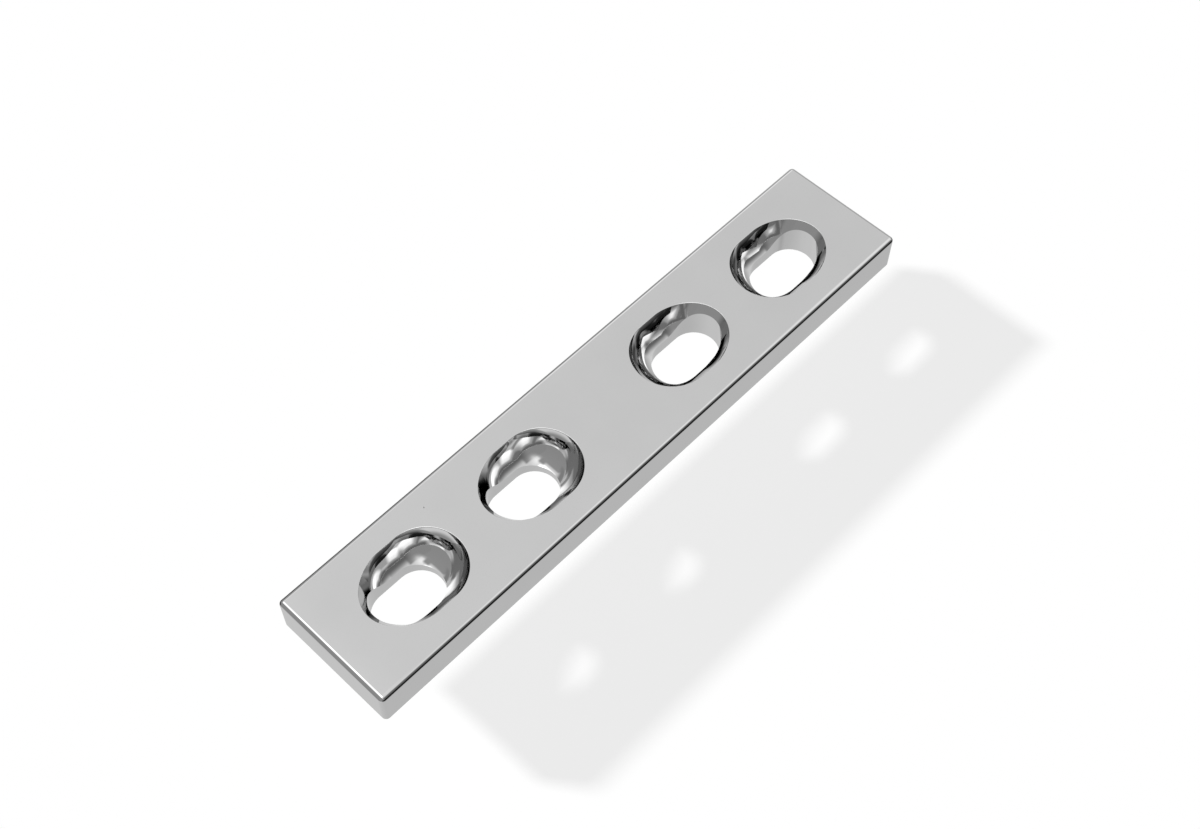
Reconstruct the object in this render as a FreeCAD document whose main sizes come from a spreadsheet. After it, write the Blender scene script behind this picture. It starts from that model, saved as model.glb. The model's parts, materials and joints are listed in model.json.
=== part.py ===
import FreeCAD, Part
import os
import sys
from math import cos, pi, radians, sin

import Sketcher
from FreeCAD import Placement, Rotation, Vector

# Orthopedic bone plate: a straight steel bar with four oval compression holes.
# Millimetres. The origin is the middle of the underside, +X along the plate, +Z up
# out of the face that the screw heads go into. The holes come in two mirrored pairs.

NODE = "bone_plate"
HOLES = 4

# Driving dimensions: name, value in millimetres or degrees, what it is
DIMENSIONS = [
    ("plate_width", 10.0, "across the bar"),
    ("plate_thickness", 3.0, "underside to top face"),
    ("edge_radius", 0.35, "round on the top edges and the four corners"),
    ("middle_span", 16.4, "between the two inner holes, centre to centre"),
    ("hole_pitch", 10.7, "from an inner hole to the outer one beside it"),
    ("end_margin", 6.6, "from an outer hole's centre to the end of the bar"),
    ("slot_width", 3.65, "through slot, across"),
    ("slot_travel", 1.95, "between the centres of the slot's round ends"),
    ("head_radius", 3.0, "ball-shaped underside of the screw head"),
    ("head_rise", 0.42, "centre of a seated head above the top face"),
    ("seat_lead", 0.71, "seat starts this far inward of the slot's inner round"),
    ("ramp_lead", 1.24, "ramp starts this far inward of the slot's outer round"),
    ("ramp_angle", 52.0, "slope of the ramp, in degrees"),
]

# The ramp's cutter runs this many head radii, which takes it out through the top face
RAMP_REACH = 2.0
# Two volumes or heights count as equal within these
SMALL = 1e-6
VOLUME_SHARE = 0.001


def make_sheet(doc):
    """Spreadsheet with one aliased cell for each driving dimension."""
    sheet = doc.addObject("Spreadsheet::Sheet", "Sizes")
    for row, (name, value, meaning) in enumerate(DIMENSIONS, start=1):
        sheet.set(f"A{row}", name)
        sheet.set(f"B{row}", str(value))
        sheet.set(f"C{row}", meaning)
        sheet.setAlias(f"B{row}", name)
    doc.recompute()
    return sheet


def origin_plane(body, role):
    """The body's own origin plane with this role."""
    return next(item for item in body.Origin.OriginFeatures if item.Role == role)


def new_sketch(body, name, role):
    """Empty sketch on one of the body's origin planes."""
    sketch = body.newObject("Sketcher::SketchObject", name)
    sketch.AttachmentSupport = [(origin_plane(body, role), "")]
    sketch.MapMode = "FlatFace"
    return sketch


def size_constraint(sketch, kind, places, value, name, formula):
    """Dimension in a sketch that follows a formula of the sheet's sizes."""
    index = sketch.addConstraint(Sketcher.Constraint(kind, *places, value))
    sketch.renameConstraint(index, name)
    sketch.setExpression(f"Constraints.{name}", formula)


# Points of a sketch line or arc, and the sketch's own origin and axes
START, END, CENTRE = 1, 2, 3
ORIGIN = (-1, 1)
X_AXIS = -1


def outline_sketch(body, sizes):
    """Rectangle of the bar, centred on the origin."""
    length = sizes.middle_span + 2 * sizes.hole_pitch + 2 * sizes.end_margin
    half_x = length / 2
    half_y = sizes.plate_width / 2
    corners = [(-half_x, -half_y), (half_x, -half_y), (half_x, half_y), (-half_x, half_y)]
    sketch = new_sketch(body, "Outline", "XY_Plane")
    for here, there in zip(corners, corners[1:] + corners[:1]):
        sketch.addGeometry(Part.LineSegment(Vector(*here, 0), Vector(*there, 0)), False)
    near, right, far, left = range(4)
    for line, other in ((near, right), (right, far), (far, left), (left, near)):
        sketch.addConstraint(Sketcher.Constraint("Coincident", line, END, other, START))
    for line in (near, far):
        sketch.addConstraint(Sketcher.Constraint("Horizontal", line))
    for line in (right, left):
        sketch.addConstraint(Sketcher.Constraint("Vertical", line))
    sketch.addConstraint(Sketcher.Constraint("Symmetric", near, START, right, END, *ORIGIN))
    size_constraint(sketch, "DistanceX", (near, START, near, END), length, "length",
                    "Sizes.middle_span + 2 * Sizes.hole_pitch + 2 * Sizes.end_margin")
    size_constraint(sketch, "DistanceY", (right, START, right, END), sizes.plate_width, "width",
                    "Sizes.plate_width")
    return sketch


def make_bar(body, sizes):
    """Bar with its top edges and its corners rounded."""
    pad = body.newObject("PartDesign::Pad", "Bar")
    pad.Profile = outline_sketch(body, sizes)
    pad.setExpression("Length", "Sizes.plate_thickness")
    body.Document.recompute()
    rounded = []
    for number, edge in enumerate(pad.Shape.Edges, start=1):
        ends = [vertex.Point.z for vertex in edge.Vertexes]
        if max(ends) > sizes.plate_thickness - SMALL:
            rounded.append(f"Edge{number}")
    fillet = body.newObject("PartDesign::Fillet", "RoundedEdges")
    fillet.Base = (pad, rounded)
    fillet.setExpression("Radius", "Sizes.edge_radius")
    body.Document.recompute()
    return fillet


def slot_sketch(body, sizes):
    """Through slot of the inner hole on the +X side: two straights and two rounds."""
    centre = sizes.middle_span / 2
    inner = centre - sizes.slot_travel / 2
    outer = centre + sizes.slot_travel / 2
    radius = sizes.slot_width / 2
    sketch = new_sketch(body, "Slot", "XY_Plane")
    up = Vector(0, 0, 1)
    arcs = [
        Part.ArcOfCircle(Part.Circle(Vector(outer, 0, 0), up, radius), -pi / 2, pi / 2),
        Part.ArcOfCircle(Part.Circle(Vector(inner, 0, 0), up, radius), pi / 2, 3 * pi / 2),
    ]
    sides = [
        Part.LineSegment(Vector(outer, radius, 0), Vector(inner, radius, 0)),
        Part.LineSegment(Vector(inner, -radius, 0), Vector(outer, -radius, 0)),
    ]
    sketch.addGeometry(arcs + sides, False)
    outer_round, inner_round, far_side, near_side = range(4)
    sketch.addConstraint(Sketcher.Constraint("Tangent", outer_round, END, far_side, START))
    sketch.addConstraint(Sketcher.Constraint("Tangent", far_side, END, inner_round, START))
    sketch.addConstraint(Sketcher.Constraint("Tangent", inner_round, END, near_side, START))
    sketch.addConstraint(Sketcher.Constraint("Tangent", near_side, END, outer_round, START))
    for arc in (outer_round, inner_round):
        sketch.addConstraint(Sketcher.Constraint("PointOnObject", arc, CENTRE, X_AXIS))
    size_constraint(sketch, "Radius", (outer_round,), radius, "round", "Sizes.slot_width / 2")
    size_constraint(sketch, "DistanceX", (*ORIGIN, inner_round, CENTRE), inner, "inner_end",
                    "Sizes.middle_span / 2 - Sizes.slot_travel / 2")
    size_constraint(sketch, "DistanceX", (inner_round, CENTRE, outer_round, CENTRE),
                    sizes.slot_travel, "travel", "Sizes.slot_travel")
    return sketch


def make_slot(body, sizes):
    """Slot cut right through the bar."""
    pocket = body.newObject("PartDesign::Pocket", "ThroughSlot")
    pocket.Profile = slot_sketch(body, sizes)
    pocket.Type = "ThroughAll"
    pocket.Reversed = True
    body.Document.recompute()
    return pocket


# Where the seat's level run starts and where its ramp starts, from the middle of the plate
SEAT_START = "Sizes.middle_span / 2 - Sizes.slot_travel / 2 - Sizes.seat_lead"
RAMP_START = "Sizes.middle_span / 2 + Sizes.slot_travel / 2 - Sizes.ramp_lead"
HEAD_HEIGHT = "Sizes.plate_thickness + Sizes.head_rise"


def head_path(sizes):
    """Numbers for the same places: seat start, ramp start and the height of the level run."""
    middle = sizes.middle_span / 2
    start = middle - sizes.slot_travel / 2 - sizes.seat_lead
    turn = middle + sizes.slot_travel / 2 - sizes.ramp_lead
    return start, turn, sizes.plate_thickness + sizes.head_rise


def level_sketch(body, sizes):
    """Lower half of the ball cutter's outline along its level run, rounded at both ends."""
    start, turn, height = head_path(sizes)
    radius = sizes.head_radius
    sketch = new_sketch(body, "LevelRun", "XZ_Plane")
    up = Vector(0, 0, 1)
    plunge = Part.Circle(Vector(start, height, 0), up, radius)
    end = Part.Circle(Vector(turn, height, 0), up, radius)
    sketch.addGeometry([
        Part.ArcOfCircle(plunge, pi, 3 * pi / 2),
        Part.LineSegment(Vector(start, height - radius, 0), Vector(turn, height - radius, 0)),
        Part.ArcOfCircle(end, 3 * pi / 2, 2 * pi),
        Part.LineSegment(Vector(turn + radius, height, 0), Vector(start - radius, height, 0)),
    ], False)
    first, bottom, last, axis = range(4)
    sketch.addConstraint(Sketcher.Constraint("Tangent", first, END, bottom, START))
    sketch.addConstraint(Sketcher.Constraint("Tangent", bottom, END, last, START))
    sketch.addConstraint(Sketcher.Constraint("Coincident", last, END, axis, START))
    sketch.addConstraint(Sketcher.Constraint("Coincident", axis, END, first, START))
    sketch.addConstraint(Sketcher.Constraint("Horizontal", bottom))
    sketch.addConstraint(Sketcher.Constraint("PointOnObject", first, CENTRE, axis))
    sketch.addConstraint(Sketcher.Constraint("PointOnObject", last, CENTRE, axis))
    size_constraint(sketch, "Radius", (first,), radius, "ball", "Sizes.head_radius")
    size_constraint(sketch, "DistanceX", (*ORIGIN, first, CENTRE), start, "start", SEAT_START)
    size_constraint(sketch, "DistanceX", (*ORIGIN, last, CENTRE), turn, "turn", RAMP_START)
    size_constraint(sketch, "DistanceY", (*ORIGIN, last, CENTRE), height, "rise", HEAD_HEIGHT)
    return sketch


def ramp_sketch(body, sizes):
    """Lower half of the cutter's outline along the ramp, from the turn out past the top face."""
    _, turn, height = head_path(sizes)
    reach = RAMP_REACH * sizes.head_radius
    slope = radians(sizes.ramp_angle)
    along = Vector(cos(slope), sin(slope), 0)
    below = Vector(sin(slope), -cos(slope), 0)
    here = Vector(turn, height, 0)
    corners = [
        here,
        here + below * sizes.head_radius,
        here + below * sizes.head_radius + along * reach,
        here + along * reach,
    ]
    sketch = new_sketch(body, "RampRun", "XZ_Plane")
    for one, other in zip(corners, corners[1:] + corners[:1]):
        sketch.addGeometry(Part.LineSegment(one, other), False)
    foot, bottom, front, axis = range(4)
    for line, other in ((foot, bottom), (bottom, front), (front, axis), (axis, foot)):
        sketch.addConstraint(Sketcher.Constraint("Coincident", line, END, other, START))
    sketch.addConstraint(Sketcher.Constraint("Perpendicular", foot, bottom))
    sketch.addConstraint(Sketcher.Constraint("Perpendicular", bottom, front))
    sketch.addConstraint(Sketcher.Constraint("Parallel", bottom, axis))
    size_constraint(sketch, "Angle", (X_AXIS, START, bottom, START), slope, "slope",
                    "Sizes.ramp_angle * 1 deg")
    size_constraint(sketch, "Distance", (foot, START, foot, END), sizes.head_radius, "ball",
                    "Sizes.head_radius")
    size_constraint(sketch, "Distance", (bottom, START, bottom, END), reach, "reach",
                    f"{RAMP_REACH} * Sizes.head_radius")
    size_constraint(sketch, "DistanceX", (*ORIGIN, foot, START), turn, "turn", RAMP_START)
    size_constraint(sketch, "DistanceY", (*ORIGIN, foot, START), height, "rise", HEAD_HEIGHT)
    return sketch


def make_groove(body, name, sketch, axis_edge):
    """Cut what the outline sweeps as it turns a quarter to each side about its own axis."""
    groove = body.newObject("PartDesign::Groove", name)
    groove.Profile = sketch
    groove.ReferenceAxis = (sketch, [axis_edge])
    groove.Midplane = True
    groove.Angle = 180.0
    body.Document.recompute()
    return groove


def make_seat(body, sizes):
    """Seat that a ball-nosed cutter leaves: a plunge, a level run and a ramp out of the top."""
    level = make_groove(body, "SeatLevelRun", level_sketch(body, sizes), "Edge4")
    ramp = make_groove(body, "SeatRamp", ramp_sketch(body, sizes), "Edge4")
    return [level, ramp]


def repeat_holes(body, features):
    """The hole repeated one pitch further out, and both mirrored to the other end."""
    outward = body.newObject("PartDesign::LinearPattern", "OuterHole")
    outward.Direction = (origin_plane(body, "YZ_Plane"), [""])
    outward.Occurrences = 2
    outward.setExpression("Length", "Sizes.hole_pitch")
    mirrored = body.newObject("PartDesign::Mirrored", "OtherEnd")
    mirrored.MirrorPlane = (origin_plane(body, "YZ_Plane"), [""])
    holes = body.newObject("PartDesign::MultiTransform", "FourHoles")
    holes.Originals = features
    holes.Transformations = [outward, mirrored]
    body.Tip = holes
    body.Document.recompute()
    return holes


def failed_objects(doc):
    """Names of the objects that did not come out right."""
    return [item.Name for item in doc.Objects if {"Invalid", "Error"} & set(item.State)]


def main():
    doc = FreeCAD.newDocument("OrthopedicBonePlate")
    sizes = make_sheet(doc)
    body = doc.addObject("PartDesign::Body", "BonePlate")
    body.Label = NODE
    body.Placement = Placement(Vector(0, 0, 0), Rotation())

    bar = make_bar(body, sizes)
    slot = make_slot(body, sizes)
    if not slot.Shape.Volume < bar.Shape.Volume - SMALL:
        sys.exit("the slot cut nothing")
    seat = make_seat(body, sizes)
    before = slot.Shape.Volume
    for feature in seat:
        if feature.Shape.Volume > before + SMALL:
            sys.exit(f"{feature.Name} added material")
        before = feature.Shape.Volume
    one_hole = bar.Shape.Volume - before
    holes = repeat_holes(body, [slot] + seat)
    removed = bar.Shape.Volume - holes.Shape.Volume
    if abs(removed - HOLES * one_hole) > VOLUME_SHARE * removed:
        sys.exit(f"{HOLES} holes take {removed} mm3 and one takes {one_hole} mm3")

    doc.recompute()
    bad = failed_objects(doc)
    if bad:
        sys.exit(f"failed: {bad}")
    shape = body.Shape
    if shape.isNull() or not shape.isValid() or len(shape.Solids) != 1:
        sys.exit(f"{NODE}: no valid single solid")
    os.makedirs("parts", exist_ok=True)
    shape.exportStep(f"parts/{NODE}.step")
    box = shape.BoundBox
    print(f"{NODE}: {box.XLength:.3f} x {box.YLength:.3f} x {box.ZLength:.3f} mm, "
          f"{shape.Volume:.2f} mm3, {len(shape.Faces)} faces")


main()
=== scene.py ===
import json
from math import cos, pi, radians, sin, sqrt

import bpy
from bpy.props import FloatProperty, IntProperty, PointerProperty, StringProperty
from bpy.types import Operator, Panel, PropertyGroup
from mathutils import Matrix, Vector


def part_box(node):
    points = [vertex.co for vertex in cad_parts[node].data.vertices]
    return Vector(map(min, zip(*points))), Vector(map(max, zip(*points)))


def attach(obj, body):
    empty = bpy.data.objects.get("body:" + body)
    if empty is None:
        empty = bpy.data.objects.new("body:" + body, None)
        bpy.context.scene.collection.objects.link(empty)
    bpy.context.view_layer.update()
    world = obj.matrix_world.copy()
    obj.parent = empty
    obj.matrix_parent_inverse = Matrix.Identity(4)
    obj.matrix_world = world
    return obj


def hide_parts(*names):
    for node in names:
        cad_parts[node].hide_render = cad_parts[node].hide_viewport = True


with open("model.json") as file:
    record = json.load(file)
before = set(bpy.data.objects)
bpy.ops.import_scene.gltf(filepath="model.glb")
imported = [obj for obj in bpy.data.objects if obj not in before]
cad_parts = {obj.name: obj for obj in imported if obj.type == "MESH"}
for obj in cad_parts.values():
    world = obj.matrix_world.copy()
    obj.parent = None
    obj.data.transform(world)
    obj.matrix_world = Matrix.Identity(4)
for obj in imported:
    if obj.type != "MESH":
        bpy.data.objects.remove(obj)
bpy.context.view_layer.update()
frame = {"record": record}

bl_info = {
    "name": "Orthopedic bone plate",
    "version": (1, 0, 0),
    "blender": (4, 5, 0),
    "location": "View3D > Sidebar > Bone plate",
    "description": "Dresses the packed bone plate in polished steel and sets it in a studio",
    "category": "Object",
}

NODE = "bone_plate"
BODY = "root"
MM = 0.001

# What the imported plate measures: its box, and the two pairs of slots in its record
LOW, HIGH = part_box(NODE)
SLOTS = {mount["name"]: mount["dims"] for mount in frame["record"]["mounts"] if mount["dims"]}
MIDDLE_SPAN = SLOTS["inner_slots"]["spacing_x_mm"] * MM
OUTER_SPAN = SLOTS["outer_slots"]["spacing_x_mm"] * MM
SLOT_WIDTH = 2 * SLOTS["inner_slots"]["hole_r_mm"] * MM
SLOT_LENGTH = SLOTS["inner_slots"]["slot_length_mm"] * MM


def size(name, default, description):
    """Length that shows in the panel in millimetres."""
    return FloatProperty(name=name, default=default, description=description,
                         subtype="DISTANCE", unit="LENGTH", precision=5, min=0.0)


class BonePlateSizes(PropertyGroup):
    length: size("Length", HIGH[0] - LOW[0], "End to end")
    width: size("Width", HIGH[1] - LOW[1], "Across the bar")
    thickness: size("Thickness", HIGH[2] - LOW[2], "Underside to top face")
    edge_radius: size("Edge radius", 0.35 * MM, "Round on the top edges and the four corners")
    middle_span: size("Middle span", MIDDLE_SPAN, "Between the two inner holes")
    hole_pitch: size("Hole pitch", (OUTER_SPAN - MIDDLE_SPAN) / 2, "Inner to outer hole")
    slot_width: size("Slot width", SLOT_WIDTH, "Through slot, across")
    slot_travel: size("Slot travel", SLOT_LENGTH - SLOT_WIDTH, "Between the slot's two rounds")
    head_radius: size("Head radius", 3.0 * MM, "Ball-shaped underside of the screw head")
    head_rise: size("Head rise", 0.42 * MM, "Centre of a seated head above the top face")
    seat_lead: size("Seat lead", 0.71 * MM, "Seat starts this far inward of the inner round")
    ramp_lead: size("Ramp lead", 1.24 * MM, "Ramp starts this far inward of the outer round")
    ramp_angle: FloatProperty(name="Ramp angle", default=radians(52.0), subtype="ANGLE",
                              description="Slope of the ramp")
    rim_radius: size("Rim radius", 0.05 * MM, "Polished-over edge round each seat")
    rim_points: IntProperty(name="Points round a hole", default=240, min=24,
                            description="Corners of the polygon that stands for a rim")
    seat_rows: IntProperty(name="Rows down a seat", default=20, min=2,
                           description="Rows of faces between a slot and its rim")
    round_rows: IntProperty(name="Rows on a round", default=8, min=2,
                            description="Rows of faces across an edge round")


class BonePlateLook(PropertyGroup):
    steel_dark: StringProperty(name="Steel, dark", default="C3C3C3",
                               description="Darkest clouds of the polished steel, sRGB hex")
    steel_light: StringProperty(name="Steel, light", default="C9C9C9",
                                description="Lightest clouds of the polished steel, sRGB hex")
    glancing: StringProperty(name="Glancing tint", default="E7E7E7",
                             description="Dip of the steel's reflection at a glancing angle, sRGB hex")
    speck: StringProperty(name="Speck", default="6A6A6A", description="Inclusion, sRGB hex")
    floor: StringProperty(name="Floor", default="FFFFFF", description="Studio floor, sRGB hex")
    roughness: FloatProperty(name="Roughness", default=0.04, min=0.0, max=1.0,
                             subtype="FACTOR", description="Roughness of the polished steel")


def linear(hex_colour):
    """Linear RGBA of an sRGB hex colour."""
    parts = [int(hex_colour[i:i + 2], 16) / 255 for i in (0, 2, 4)]
    return [c / 12.92 if c <= 0.04045 else ((c + 0.055) / 1.055) ** 2.4 for c in parts] + [1.0]


def add_node(tree, kind, settings=None, values=None, links=None):
    """Node of a kind with its settings, the values of its inputs and the links into them."""
    node = tree.nodes.new(kind)
    for name, value in (settings or {}).items():
        setattr(node, name, value)
    for key, value in (values or {}).items():
        node.inputs[key].default_value = value
    for key, socket in (links or {}).items():
        tree.links.new(socket, node.inputs[key])
    return node


# The screw hole: its slot, its ball-shaped seat and its ramp


def slot_reach(sizes, angle):
    """Distance from a hole's centre to the wall of its slot, at an angle in plan."""
    half = sizes.slot_travel / 2
    radius = sizes.slot_width / 2
    if abs(cos(angle)) * radius <= half * abs(sin(angle)):
        return radius / abs(sin(angle))
    return half * abs(cos(angle)) + sqrt(radius ** 2 - (half * sin(angle)) ** 2)


def head_centre(sizes, x, y, radius):
    """Centre of the screw head, or of a ball round it, that touches the seat above (x, y)."""
    start = -sizes.slot_travel / 2 - sizes.seat_lead
    turn = sizes.slot_travel / 2 - sizes.ramp_lead
    height = sizes.thickness + sizes.head_rise
    slope = sizes.ramp_angle
    across = sqrt(max(radius ** 2 - y ** 2, 0.0))
    if x <= turn:
        return Vector((max(x, start), 0.0, height))
    climb = max((x - turn - across * sin(slope)) / cos(slope), 0.0)
    return Vector((turn + climb * cos(slope), 0.0, height + climb * sin(slope)))


def seat_height(sizes, x, y, radius):
    """Height of the seat at (x, y), or None outside the ball."""
    centre = head_centre(sizes, x, y, radius)
    below = radius ** 2 - (x - centre.x) ** 2 - y ** 2
    return centre.z - sqrt(below) if below >= 0 else None


# Halvings that find a rim to far below a thousandth of a millimetre
RIM_HALVINGS = 60


def rim_reach(sizes, angle):
    """Distance from a hole's centre to the centre line of its rim's round, at an angle."""
    radius = sizes.head_radius + sizes.rim_radius
    level = sizes.thickness - sizes.rim_radius
    near, far = slot_reach(sizes, angle), 3 * radius
    for _ in range(RIM_HALVINGS):
        middle = (near + far) / 2
        height = seat_height(sizes, middle * cos(angle), middle * sin(angle), radius)
        if height is None or height > level:
            far = middle
        else:
            near = middle
    return near


def hole_section(sizes, angle):
    """Bands of a hole at an angle: each is a list of points with their normals, from below."""
    out = Vector((cos(angle), sin(angle), 0.0))
    edge = out * slot_reach(sizes, angle)
    half = sizes.slot_travel / 2
    inward = Vector((min(max(edge.x, -half), half), 0.0, 0.0)) - edge
    inward.normalize()
    edge.z = seat_height(sizes, edge.x, edge.y, sizes.head_radius)
    wall = [(Vector((edge.x, edge.y, 0.0)), inward), (edge, inward)]

    outer = sizes.head_radius + sizes.rim_radius
    bead = out * rim_reach(sizes, angle)
    bead.z = sizes.thickness - sizes.rim_radius
    towards = (head_centre(sizes, bead.x, bead.y, outer) - bead).normalized()
    top = bead + towards * sizes.rim_radius
    seat = []
    for row in range(sizes.seat_rows + 1):
        share = row / sizes.seat_rows
        x = edge.x + (top.x - edge.x) * share
        y = edge.y + (top.y - edge.y) * share
        z = seat_height(sizes, x, y, sizes.head_radius)
        place = Vector((x, y, top.z if z is None else z))
        centre = head_centre(sizes, x, y, sizes.head_radius)
        seat.append((place, (centre - place).normalized()))
    seat[-1] = (top, towards)

    up = Vector((0.0, 0.0, 1.0))
    rim = []
    for row in range(sizes.round_rows + 1):
        way = towards.slerp(up, row / sizes.round_rows)
        rim.append((bead + way * sizes.rim_radius, way))
    return [wall, seat, rim]


def edge_section(sizes, corner, angle):
    """Bands of the bar's side at an angle round one of its corners, from below."""
    radius = sizes.edge_radius
    out = Vector((cos(angle), sin(angle), 0.0))
    up = Vector((0.0, 0.0, 1.0))
    low = corner + out * radius
    shoulder = sizes.thickness - radius
    side = [(low, out), (low + up * shoulder, out)]
    top = []
    for row in range(sizes.round_rows + 1):
        way = out.slerp(up, row / sizes.round_rows)
        top.append((corner + up * shoulder + way * radius, way))
    return [side, top]


def banded_mesh(name, sections, facing):
    """Closed ring of faces through the sections, with each corner's true normal."""
    places, faces, normals = [], [], []
    count = len(sections)
    for band in range(len(sections[0])):
        rows = len(sections[0][band])
        start = len(places)
        for section in sections:
            places.extend(place for place, _ in section[band])
        for i in range(count):
            j = (i + 1) % count
            for row in range(rows - 1):
                ring = [(i, row), (j, row), (j, row + 1), (i, row + 1)][::facing]
                faces.append([start + step * rows + at for step, at in ring])
                normals.extend(sections[step][band][at][1] for step, at in ring)
    mesh = bpy.data.meshes.new(name)
    mesh.from_pydata(places, [], faces)
    store = mesh.attributes.new("true_normal", "FLOAT_VECTOR", "CORNER")
    store.data.foreach_set("vector", [part for normal in normals for part in normal])
    thing = bpy.data.objects.new(name, mesh)
    bpy.context.scene.collection.objects.link(thing)
    return thing


def hole_lining(sizes):
    """Surface of one hole round its own centre, with the ramp towards +X."""
    step = 2 * pi / sizes.rim_points
    sections = [hole_section(sizes, (i + 0.5) * step) for i in range(sizes.rim_points)]
    return banded_mesh("hole_lining", sections, -1)


def bar_side(sizes):
    """Side of the bar all the way round, with its rounded corners and top edges."""
    inner_x = sizes.length / 2 - sizes.edge_radius
    inner_y = sizes.width / 2 - sizes.edge_radius
    corners = [(inner_x, inner_y), (-inner_x, inner_y), (-inner_x, -inner_y), (inner_x, -inner_y)]
    sections = []
    for number, (x, y) in enumerate(corners):
        for row in range(sizes.round_rows + 1):
            angle = (number + row / sizes.round_rows) * pi / 2
            sections.append(edge_section(sizes, Vector((x, y, 0.0)), angle))
    return banded_mesh("bar_side", sections, 1)


# Widest gap that is closed where two surfaces of the plate meet
WELD = 0.0005 * MM


def plate_tree(material):
    """Node tree that sets one lining in four places and closes the top and the underside."""
    tree = bpy.data.node_groups.new("Bone plate with four holes", "GeometryNodeTree")
    face = tree.interface
    face.new_socket("Side", in_out="INPUT", socket_type="NodeSocketGeometry")
    face.new_socket("Lining", in_out="INPUT", socket_type="NodeSocketObject")
    for name in ("Middle span", "Hole pitch", "Thickness"):
        socket = face.new_socket(name, in_out="INPUT", socket_type="NodeSocketFloat")
        socket.subtype = "DISTANCE"
    face.new_socket("Plate", in_out="OUTPUT", socket_type="NodeSocketGeometry")
    given = add_node(tree, "NodeGroupInput").outputs

    half = add_node(tree, "ShaderNodeMath", {"operation": "DIVIDE"}, {1: 2.0},
                    {0: given["Middle span"]})
    first = add_node(tree, "ShaderNodeCombineXYZ", links={"X": half.outputs[0]})
    pitch = add_node(tree, "ShaderNodeCombineXYZ", links={"X": given["Hole pitch"]})
    centres = add_node(tree, "GeometryNodeMeshLine", {"mode": "OFFSET"}, {"Count": 2},
                       {"Start Location": first.outputs[0], "Offset": pitch.outputs[0]})
    lining = add_node(tree, "GeometryNodeObjectInfo", {"transform_space": "ORIGINAL"},
                      links={"Object": given["Lining"]})
    pair = add_node(tree, "GeometryNodeInstanceOnPoints",
                    links={"Points": centres.outputs[0], "Instance": lining.outputs["Geometry"]})
    real = add_node(tree, "GeometryNodeRealizeInstances", links={0: pair.outputs[0]})

    # The other end is this pair turned half round, and its normals turn with it
    turned = add_node(tree, "GeometryNodeTransform", values={"Rotation": (0.0, 0.0, pi)},
                      links={"Geometry": real.outputs[0]})
    normal = add_node(tree, "GeometryNodeInputNamedAttribute", {"data_type": "FLOAT_VECTOR"},
                      {"Name": "true_normal"})
    flipped = add_node(tree, "ShaderNodeVectorMath", {"operation": "MULTIPLY"},
                       {1: (-1.0, -1.0, 1.0)}, {0: normal.outputs[0]})
    other = add_node(tree, "GeometryNodeStoreNamedAttribute",
                     {"data_type": "FLOAT_VECTOR", "domain": "CORNER"}, {"Name": "true_normal"},
                     {"Geometry": turned.outputs[0], "Value": flipped.outputs[0]})
    walls = add_node(tree, "GeometryNodeJoinGeometry")
    for source in (other.outputs[0], real.outputs[0], given["Side"]):
        tree.links.new(source, walls.inputs[0])
    shell = add_node(tree, "GeometryNodeMergeByDistance", values={"Distance": WELD},
                     links={0: walls.outputs[0]})

    # The top and the underside fill what is open between the side and the holes. An open edge
    # has only one face beside it
    beside = add_node(tree, "GeometryNodeInputMeshEdgeNeighbors")
    place = add_node(tree, "GeometryNodeInputPosition")
    height = add_node(tree, "ShaderNodeSeparateXYZ", links={0: place.outputs[0]})
    middle = add_node(tree, "ShaderNodeMath", {"operation": "DIVIDE"}, {1: 2.0},
                      {0: given["Thickness"]})
    open_edge = add_node(tree, "ShaderNodeMath", {"operation": "LESS_THAN"}, {1: 1.5},
                         {0: beside.outputs[0]})
    sheets = [shell.outputs[0]]
    for operation, sign in (("GREATER_THAN", 1.0), ("LESS_THAN", -1.0)):
        level = add_node(tree, "ShaderNodeMath", {"operation": operation},
                         links={0: height.outputs["Z"], 1: middle.outputs[0]})
        both = add_node(tree, "ShaderNodeMath", {"operation": "MULTIPLY"},
                        links={0: level.outputs[0], 1: open_edge.outputs[0]})
        loops = add_node(tree, "GeometryNodeMeshToCurve",
                         links={"Mesh": shell.outputs[0], "Selection": both.outputs[0]})
        sheet = add_node(tree, "GeometryNodeFillCurve", links={0: loops.outputs[0]}).outputs[0]
        if sign > 0:
            lift = add_node(tree, "ShaderNodeCombineXYZ", links={"Z": given["Thickness"]})
            sheet = add_node(tree, "GeometryNodeTransform",
                             links={"Geometry": sheet, "Translation": lift.outputs[0]}).outputs[0]
        else:
            sheet = add_node(tree, "GeometryNodeFlipFaces", links={"Mesh": sheet}).outputs[0]
        sheets.append(add_node(
            tree, "GeometryNodeStoreNamedAttribute",
            {"data_type": "FLOAT_VECTOR", "domain": "CORNER"},
            {"Name": "true_normal", "Value": (0.0, 0.0, sign)}, {"Geometry": sheet}).outputs[0])
    whole = add_node(tree, "GeometryNodeJoinGeometry")
    for source in reversed(sheets):
        tree.links.new(source, whole.inputs[0])
    welded = add_node(tree, "GeometryNodeMergeByDistance", values={"Distance": WELD},
                      links={0: whole.outputs[0]})
    single = add_node(tree, "GeometryNodeRealizeInstances", links={0: welded.outputs[0]})
    steel = add_node(tree, "GeometryNodeSetMaterial", values={"Material": material},
                     links={"Geometry": single.outputs[0]})
    add_node(tree, "NodeGroupOutput", links={0: steel.outputs[0]})
    return tree


def set_inputs(modifier, values):
    """Set a node tree's inputs on its modifier by the name that the tree gives them."""
    for item in modifier.node_group.interface.items_tree:
        if item.item_type == "SOCKET" and item.in_out == "INPUT" and item.name in values:
            modifier[item.identifier] = values[item.name]


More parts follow.
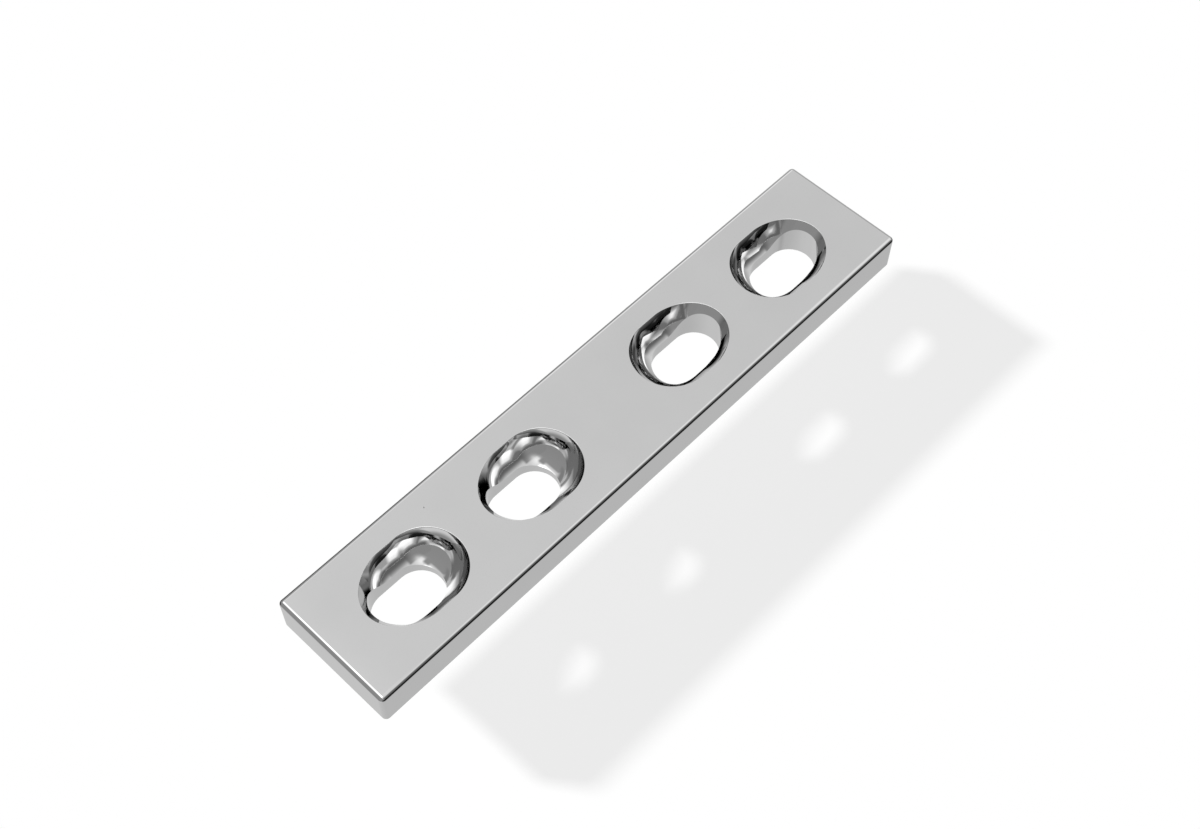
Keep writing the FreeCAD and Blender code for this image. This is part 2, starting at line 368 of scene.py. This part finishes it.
def as_plain_mesh(thing, name):
    """What an object's modifiers make of it, as a plain mesh with its true normals."""
    graph = bpy.context.evaluated_depsgraph_get()
    mesh = bpy.data.meshes.new_from_object(thing.evaluated_get(graph))
    mesh.name = name
    store = mesh.attributes["true_normal"]
    normals = [0.0] * (3 * len(mesh.loops))
    store.data.foreach_get("vector", normals)
    mesh.attributes.remove(store)
    mesh.polygons.foreach_set("use_smooth", [True] * len(mesh.polygons))
    mesh.normals_split_custom_set(list(zip(normals[::3], normals[1::3], normals[2::3])))
    return mesh


# Polished implant steel

# Sizes of the polish's faint patterns, and how far the haze changes the roughness. The steel's
# own grain, about 0.03 mm, is too fine to show, so where it makes an outline ragged it is drawn
# 0.15 mm across
HAZE_SIZE = 1.5 * MM
HAZE_SPREAD = 0.3
CLOUD_SIZE = 4.0 * MM
GRAIN_SIZE = 0.15 * MM
WAVE_HEIGHT = 0.001 * MM

# Inclusion left open in the top face: its middle, its turn and its half sizes, the share of the
# grain in its outline, and where that outline starts and ends its change to steel
SPECK_PLACE = Vector((-14.2, 3.27, 3.0)) * MM
SPECK_TURN = radians(50.0)
SPECK_REACH = Vector((0.08, 0.04, 0.1)) * MM
SPECK_RAGGED = 0.8
SPECK_INSIDE, SPECK_OUTSIDE = 1.1, 1.5


def implant_steel(look):
    """Cold-worked stainless steel, machined, tumbled and electropolished to a mirror.

    It shows its surroundings sharply. The faint waviness that tumbling leaves, 1 to 2 mm
    across, makes straight reflections swim a little. Electropolishing takes off the machining
    lines, and leaves patches of haze and the odd open inclusion.
    """
    material = bpy.data.materials.new("electropolished_implant_steel")
    material.use_nodes = True
    tree = material.node_tree
    tree.nodes.clear()
    place = add_node(tree, "ShaderNodeTexCoord").outputs["Object"]
    haze, cloud, grain = [
        add_node(tree, "ShaderNodeTexNoise", values={"Scale": 1 / across, "Detail": detail},
                 links={"Vector": place}).outputs[0]
        for across, detail in ((HAZE_SIZE, 3.0), (CLOUD_SIZE, 2.0), (GRAIN_SIZE, 1.0))]

    # The inclusion: an oval with a ragged outline, where the steel is dark and dull
    spot = add_node(tree, "ShaderNodeMapping", {"vector_type": "TEXTURE"},
                    {"Location": SPECK_PLACE, "Rotation": (0.0, 0.0, SPECK_TURN),
                     "Scale": SPECK_REACH}, {"Vector": place})
    reach = add_node(tree, "ShaderNodeVectorMath", {"operation": "LENGTH"},
                     links={0: spot.outputs[0]})
    ragged = add_node(tree, "ShaderNodeMath", {"operation": "MULTIPLY_ADD"}, {1: SPECK_RAGGED},
                      {0: grain, 2: reach.outputs["Value"]})
    speck = add_node(tree, "ShaderNodeMapRange",
                     values={"From Min": SPECK_OUTSIDE, "From Max": SPECK_INSIDE},
                     links={"Value": ragged.outputs[0]}).outputs[0]

    # Cloudy tone of the cold-worked bar, two or three greys either way
    tone = add_node(tree, "ShaderNodeMix", {"data_type": "RGBA"},
                    {"A": linear(look.steel_dark), "B": linear(look.steel_light)},
                    {"Factor": cloud})
    marked = add_node(tree, "ShaderNodeMix", {"data_type": "RGBA"}, {"B": linear(look.speck)},
                      {"Factor": speck, "A": tone.outputs["Result"]})
    metal = add_node(tree, "ShaderNodeMath", {"operation": "SUBTRACT"}, {0: 1.0}, {1: speck})
    polish = add_node(tree, "ShaderNodeMapRange",
                      values={"To Min": (1 - HAZE_SPREAD) * look.roughness,
                              "To Max": (1 + HAZE_SPREAD) * look.roughness},
                      links={"Value": haze})
    rough = add_node(tree, "ShaderNodeMath", {"operation": "MAXIMUM"},
                     links={0: polish.outputs[0], 1: speck})
    wave = add_node(tree, "ShaderNodeBump", values={"Strength": 1.0, "Distance": WAVE_HEIGHT},
                    links={"Height": haze})
    surface = add_node(tree, "ShaderNodeBsdfPrincipled",
                       values={"Specular Tint": linear(look.glancing)},
                       links={"Base Color": marked.outputs["Result"], "Metallic": metal.outputs[0],
                              "Roughness": rough.outputs[0], "Normal": wave.outputs[0]})
    add_node(tree, "ShaderNodeOutputMaterial", links={"Surface": surface.outputs[0]})
    return material


# Studio

# Camera, solved on the plate's outer edges: place, turn and lens in millimetres
CAMERA_PLACE = Vector((-46.059, -43.252, 101.293)) * MM
CAMERA_AIM = Vector((0.597, 1.251, 0.0)) * MM
CAMERA_ROLL = radians(0.313)
CAMERA_LENS = 50.80
CAMERA_SENSOR = 36.0
CAMERA_NEAR = 10.0 * MM

# The floor lies this far below the plate's underside, which sets where the shadow falls
FLOOR_DROP = 7.7 * MM
FLOOR_SIZE = 4.0
SUN_DIRECTION = Vector((-0.463, 0.637, 0.616))
SUN_SPREAD = radians(5.0)

# The lamp and the surround together light the floor to 1. The share of the floor's brightness
# that doesn't depend on them keeps the shadow pale
SUN_LIGHT = 0.85
FLOOR_GLOW = 0.8

# Sides of the studio: the axis that each lies along and its sign, then the axes that run across
# it and up it
SIDES = {"below": (2, -1, 0, 1), "above": (2, 1, 0, 1), "left": (0, -1, 1, 2),
         "right": (0, 1, 1, 2), "front": (1, -1, 0, 2), "behind": (1, 1, 0, 2)}

# What the polish shows of the studio besides white: soft patches on a dome, each covering what
# comes before it. Lengths are in distances to the patch's side, and white is a brightness of 1.
# Name, side, middle across and up, width, height, brightness low and high, width of its soft edge
PATCHES = [
    ("dim_ceiling", "above", 0.90, 0.40, 0.90, 1.60, 0.95, 0.95, 0.40),
    ("pale_table", "below", 0.20, -0.85, 2.10, 3.15, 0.55, 0.95, 0.15),
    ("grey_wall", "left", -0.50, 0.55, 3.65, 2.30, 0.40, 0.45, 0.40),
    ("back_wall", "behind", 0.60, -0.15, 4.20, 1.30, 1.20, 0.45, 0.65),
    ("front_wall", "front", -0.75, 0.05, 2.05, 2.00, 0.40, 0.40, 0.20),
    ("black_flag", "front", 0.65, -0.25, 1.25, 1.80, 0.10, 0.20, 0.50),
    ("right_wall", "right", -0.35, 0.45, 1.00, 2.45, 0.00, 1.40, 0.70),
    ("main_softbox", "above", -0.15, 0.15, 0.50, 0.95, 3.80, 2.50, 0.25),
    ("side_softbox", "above", 0.60, 0.95, 0.90, 0.70, 1.60, 1.25, 0.25),
    ("grey_ceiling", "above", -0.40, 1.30, 1.70, 0.80, 0.35, 0.35, 0.45),
    ("front_softbox", "above", -0.35, -0.95, 0.35, 1.00, 0.70, 1.90, 0.75),
    ("back_skirting", "behind", -0.50, -0.35, 2.00, 1.05, 0.05, 0.00, 0.80),
    ("front_skirting", "front", 0.20, -0.35, 2.10, 0.70, 0.00, 0.00, 0.40),
    ("right_board", "right", 0.90, 0.35, 1.40, 0.70, 0.60, 0.60, 0.30),
    ("wall_corner", "above", -0.60, -0.40, 0.45, 0.40, 0.45, 0.45, 0.20),
    ("front_fill", "above", 0.55, -0.60, 0.60, 0.50, 1.30, 1.30, 0.30),
]
DOME_RADIUS = 2.0
DOME_STEPS = 240

# A direction nearer than this to a side's own plane never meets that side
GRAZING = 0.02


def eased(share):
    """0 to 1 with soft ends."""
    share = min(max(share, 0.0), 1.0)
    return share * share * (3 - 2 * share)


def studio_tone(way):
    """Brightness of the studio in a direction, where white is 1."""
    tone = 1.0
    for _, side, across, up, width, height, low, high, edge in PATCHES:
        facing, sign, along, rise = SIDES[side]
        depth = way[facing] * sign
        if depth <= GRAZING:
            continue
        u = way[along] / depth - across
        v = way[rise] / depth - up
        cover = eased((width / 2 - abs(u)) / edge + 0.5) * eased((height / 2 - abs(v)) / edge + 0.5)
        tone += cover * (low + (high - low) * eased(v / height + 0.5) - tone)
    return tone


def studio_dome():
    """Dome round the plate, painted with the patches, that only the polish sees."""
    places, tones, faces = [], [], []
    rows = DOME_STEPS // 2
    for row in range(rows + 1):
        rise = pi * (row / rows - 0.5)
        for step in range(DOME_STEPS):
            turn = 2 * pi * step / DOME_STEPS
            way = Vector((cos(turn) * cos(rise), sin(turn) * cos(rise), sin(rise)))
            places.append(way * DOME_RADIUS)
            tones.append(studio_tone(way))
            if row < rows:
                here, there = row * DOME_STEPS + step, row * DOME_STEPS + (step + 1) % DOME_STEPS
                faces.append((here, here + DOME_STEPS, there + DOME_STEPS, there))
    mesh = bpy.data.meshes.new("studio_dome")
    mesh.from_pydata(places, [], faces)
    mesh.attributes.new("tone", "FLOAT", "POINT").data.foreach_set("value", tones)
    material = bpy.data.materials.new("painted_light")
    material.use_nodes = True
    tree = material.node_tree
    tree.nodes.clear()
    tone = add_node(tree, "ShaderNodeAttribute", {"attribute_name": "tone"})
    light = add_node(tree, "ShaderNodeEmission", links={"Strength": tone.outputs["Fac"]})
    add_node(tree, "ShaderNodeOutputMaterial", links={"Surface": light.outputs[0]})
    mesh.materials.append(material)
    dome = bpy.data.objects.new("studio_dome", mesh)
    bpy.context.scene.collection.objects.link(dome)
    dome.visible_camera = False
    dome.visible_diffuse = False
    dome.visible_shadow = False
    dome.visible_transmission = False


def seen_directly(tree):
    """1 for rays from the camera, or from polish or glass, and 0 for light on the object."""
    path = add_node(tree, "ShaderNodeLightPath").outputs
    total = path["Is Camera Ray"]
    for other in ("Is Glossy Ray", "Is Transmission Ray"):
        total = add_node(tree, "ShaderNodeMath", {"operation": "ADD", "use_clamp": True},
                         links={0: total, 1: path[other]}).outputs[0]
    return total


def studio_floor(look):
    """Pale floor, mostly white by itself where it is seen, that keeps the plate's shadow."""
    half = FLOOR_SIZE / 2
    corners = [(-half, -half), (half, -half), (half, half), (-half, half)]
    mesh = bpy.data.meshes.new("studio_floor")
    mesh.from_pydata([(x, y, -FLOOR_DROP) for x, y in corners], [], [(0, 1, 2, 3)])
    material = bpy.data.materials.new("white_sweep")
    material.use_nodes = True
    tree = material.node_tree
    tree.nodes.clear()
    matt = add_node(tree, "ShaderNodeBsdfDiffuse", values={"Color": linear(look.floor)})
    light = add_node(tree, "ShaderNodeEmission")
    share = add_node(tree, "ShaderNodeMath", {"operation": "MULTIPLY"}, {1: FLOOR_GLOW},
                     {0: seen_directly(tree)})
    both = add_node(tree, "ShaderNodeMixShader",
                    links={"Fac": share.outputs[0], 1: matt.outputs[0], 2: light.outputs[0]})
    add_node(tree, "ShaderNodeOutputMaterial", links={"Surface": both.outputs[0]})
    mesh.materials.append(material)
    floor = bpy.data.objects.new("studio_floor", mesh)
    bpy.context.scene.collection.objects.link(floor)
    floor.visible_glossy = False


def studio_world():
    """White surround, seen at full strength and dim as a light."""
    world = bpy.data.worlds.new("studio")
    world.use_nodes = True
    tree = world.node_tree
    tree.nodes.clear()
    strength = add_node(tree, "ShaderNodeMapRange", values={"To Min": 1 - SUN_LIGHT, "To Max": 1.0},
                        links={"Value": seen_directly(tree)})
    sky = add_node(tree, "ShaderNodeBackground", values={"Color": (1.0, 1.0, 1.0, 1.0)},
                   links={"Strength": strength.outputs[0]})
    add_node(tree, "ShaderNodeOutputWorld", links={"Surface": sky.outputs[0]})
    bpy.context.scene.world = world


def studio_sun():
    """Soft lamp that casts the plate's shadow."""
    lamp = bpy.data.lights.new("key_lamp", "SUN")
    lamp.energy = SUN_LIGHT * pi / SUN_DIRECTION.normalized().z
    lamp.angle = SUN_SPREAD
    thing = bpy.data.objects.new("key_lamp", lamp)
    thing.rotation_mode = "QUATERNION"
    thing.rotation_quaternion = SUN_DIRECTION.to_track_quat("Z", "Y")
    thing.visible_glossy = False
    bpy.context.scene.collection.objects.link(thing)


def studio_camera():
    """Camera at the photograph's viewing angle."""
    data = bpy.data.cameras.new("camera")
    data.lens = CAMERA_LENS
    data.sensor_width = CAMERA_SENSOR
    data.clip_start = CAMERA_NEAR
    camera = bpy.data.objects.new("camera", data)
    turn = (CAMERA_AIM - CAMERA_PLACE).to_track_quat("-Z", "Y").to_matrix().to_4x4()
    roll = Matrix.Rotation(CAMERA_ROLL, 4, "Z")
    camera.matrix_world = Matrix.Translation(CAMERA_PLACE) @ turn @ roll
    bpy.context.scene.collection.objects.link(camera)
    bpy.context.scene.camera = camera


class BONEPLATE_OT_plate(Operator):
    """Make the plate with its four screw holes and polish it"""
    bl_idname = "bone_plate.plate"
    bl_label = "Plate"

    def execute(self, context):
        sizes = context.scene.bone_plate_sizes
        material = implant_steel(context.scene.bone_plate_look)
        lining = hole_lining(sizes)
        side = bar_side(sizes)
        modifier = side.modifiers.new("Plate", "NODES")
        modifier.node_group = plate_tree(material)
        set_inputs(modifier, {
            "Lining": lining,
            "Middle span": sizes.middle_span,
            "Hole pitch": sizes.hole_pitch,
            "Thickness": sizes.thickness,
        })
        mesh = as_plain_mesh(side, "steel_plate")
        for helper in (side, lining):
            bpy.data.objects.remove(helper)
        plate = bpy.data.objects.new("steel_plate", mesh)
        context.scene.collection.objects.link(plate)
        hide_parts(NODE)
        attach(plate, BODY)
        return {"FINISHED"}


class BONEPLATE_OT_stage(Operator):
    """Set up the floor, the surround, the dome, the lamp and the camera"""
    bl_idname = "bone_plate.stage"
    bl_label = "Studio"

    def execute(self, context):
        studio_floor(context.scene.bone_plate_look)
        studio_world()
        studio_sun()
        studio_camera()
        studio_dome()
        context.scene.view_settings.view_transform = "Standard"
        return {"FINISHED"}


class BONEPLATE_PT_panel(Panel):
    """Sizes, colours and pieces of the bone plate"""
    bl_label = "Bone plate"
    bl_space_type = "VIEW_3D"
    bl_region_type = "UI"
    bl_category = "Bone plate"

    def draw(self, context):
        for group in (context.scene.bone_plate_sizes, context.scene.bone_plate_look):
            for name in group.__annotations__:
                self.layout.prop(group, name)
        for operator in OPERATORS:
            self.layout.operator(operator.bl_idname)


GROUPS = (BonePlateSizes, BonePlateLook)
OPERATORS = (BONEPLATE_OT_plate, BONEPLATE_OT_stage)


def register():
    for item in GROUPS + OPERATORS + (BONEPLATE_PT_panel,):
        bpy.utils.register_class(item)
    bpy.types.Scene.bone_plate_sizes = PointerProperty(type=BonePlateSizes)
    bpy.types.Scene.bone_plate_look = PointerProperty(type=BonePlateLook)


def unregister():
    del bpy.types.Scene.bone_plate_look
    del bpy.types.Scene.bone_plate_sizes
    for item in (BONEPLATE_PT_panel,) + OPERATORS[::-1] + GROUPS[::-1]:
        bpy.utils.unregister_class(item)


def main():
    register()
    bpy.ops.bone_plate.plate()
    bpy.ops.bone_plate.stage()


if __name__ == "__main__":
    main()
